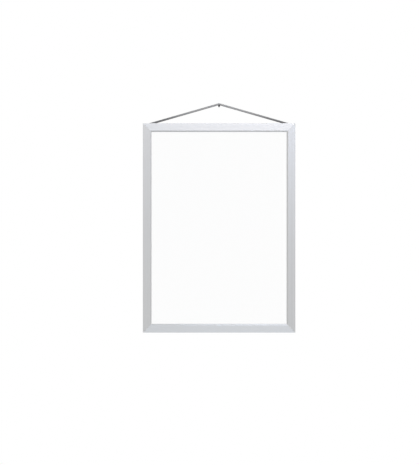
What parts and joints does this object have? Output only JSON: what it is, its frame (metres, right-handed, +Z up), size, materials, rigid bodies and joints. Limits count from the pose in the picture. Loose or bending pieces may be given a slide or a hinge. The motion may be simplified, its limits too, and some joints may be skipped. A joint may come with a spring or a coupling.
{
  "type": "hanging picture frame",
  "caption": "Slim upright hanging frame: mitred, grooved aluminium rails grip clear panes and are held together by an elastic cord that also loops over a wall nail.",
  "frame": {"origin": "where the nail's axis meets the wall, in the plane of the rails' rear faces", "axes": "+Z up, +X to the right seen from the front, +Y into the wall, so the front faces -Y"},
  "size_m": [0.166, 0.0325, 0.25],
  "materials": {
    "rail_aluminium": "satin, fine grain along the rail, clear anodised",
    "clear_acrylic": "clear, polished",
    "elastic": "braided grey elastic",
    "nail_steel": "dark blued steel"
  },
  "bodies": {
    "nail": {"hanging_nail": "nail_steel"},
    "hanger": {"hanging_cord": "elastic"},
    "top_side": {"top_rail": "rail_aluminium"},
    "glazing": {"front_pane": "clear_acrylic", "back_pane": "clear_acrylic"},
    "left_side": {"left_rail": "rail_aluminium"},
    "right_side": {"right_rail": "rail_aluminium"},
    "bottom_side": {"bottom_rail": "rail_aluminium"},
    "top_left_bend": {"top_left_cord": "elastic"},
    "top_right_bend": {"top_right_cord": "elastic"},
    "bottom_left_bend": {"bottom_left_cord": "elastic"},
    "bottom_right_bend": {"bottom_right_cord": "elastic"}
  },
  "joints": [
    {"name": "sway", "type": "hinge", "parent": "nail", "child": "hanger", "pos_m": [0, 0, 0], "axis": [0, 1, 0], "range_deg": [-15, 15]},
    {"name": "tip", "type": "hinge", "parent": "hanger", "child": "top_side", "pos_m": [0, -0.0065, -0.01695], "axis": [-1, 0, 0], "range_deg": [0, 45], "deforming": ["hanging_cord"]},
    {"name": "top_pull", "type": "slide", "parent": "top_side", "child": "glazing", "axis": [0, 0, -1], "range_m": [0, 0.01], "stiffness_N_per_m": 300, "springref_m": -0.03},
    {"name": "left_pull", "type": "slide", "parent": "glazing", "child": "left_side", "axis": [-1, 0, 0], "range_m": [0, 0.01], "stiffness_N_per_m": 300, "springref_m": -0.03},
    {"name": "right_pull", "type": "slide", "parent": "glazing", "child": "right_side", "axis": [1, 0, 0], "range_m": [0, 0.01], "stiffness_N_per_m": 300, "springref_m": -0.03},
    {"name": "bottom_pull", "type": "slide", "parent": "glazing", "child": "bottom_side", "axis": [0, 0, -1], "range_m": [0, 0.01], "stiffness_N_per_m": 300, "springref_m": -0.03},
    {"name": "top_left_follow", "type": "slide", "parent": "top_side", "child": "top_left_bend", "axis": [-1, 0, 0], "range_m": [0, 0.01]},
    {"name": "top_right_follow", "type": "slide", "parent": "top_side", "child": "top_right_bend", "axis": [1, 0, 0], "range_m": [0, 0.01]},
    {"name": "bottom_left_follow", "type": "slide", "parent": "bottom_side", "child": "bottom_left_bend", "axis": [-1, 0, 0], "range_m": [0, 0.01]},
    {"name": "bottom_right_follow", "type": "slide", "parent": "bottom_side", "child": "bottom_right_bend", "axis": [1, 0, 0], "range_m": [0, 0.01]}
  ],
  "couplings": [
    {"joint": "top_left_follow", "follows": "left_pull", "ratio": 1},
    {"joint": "bottom_left_follow", "follows": "left_pull", "ratio": 1},
    {"joint": "top_right_follow", "follows": "right_pull", "ratio": 1},
    {"joint": "bottom_right_follow", "follows": "right_pull", "ratio": 1}
  ]
}
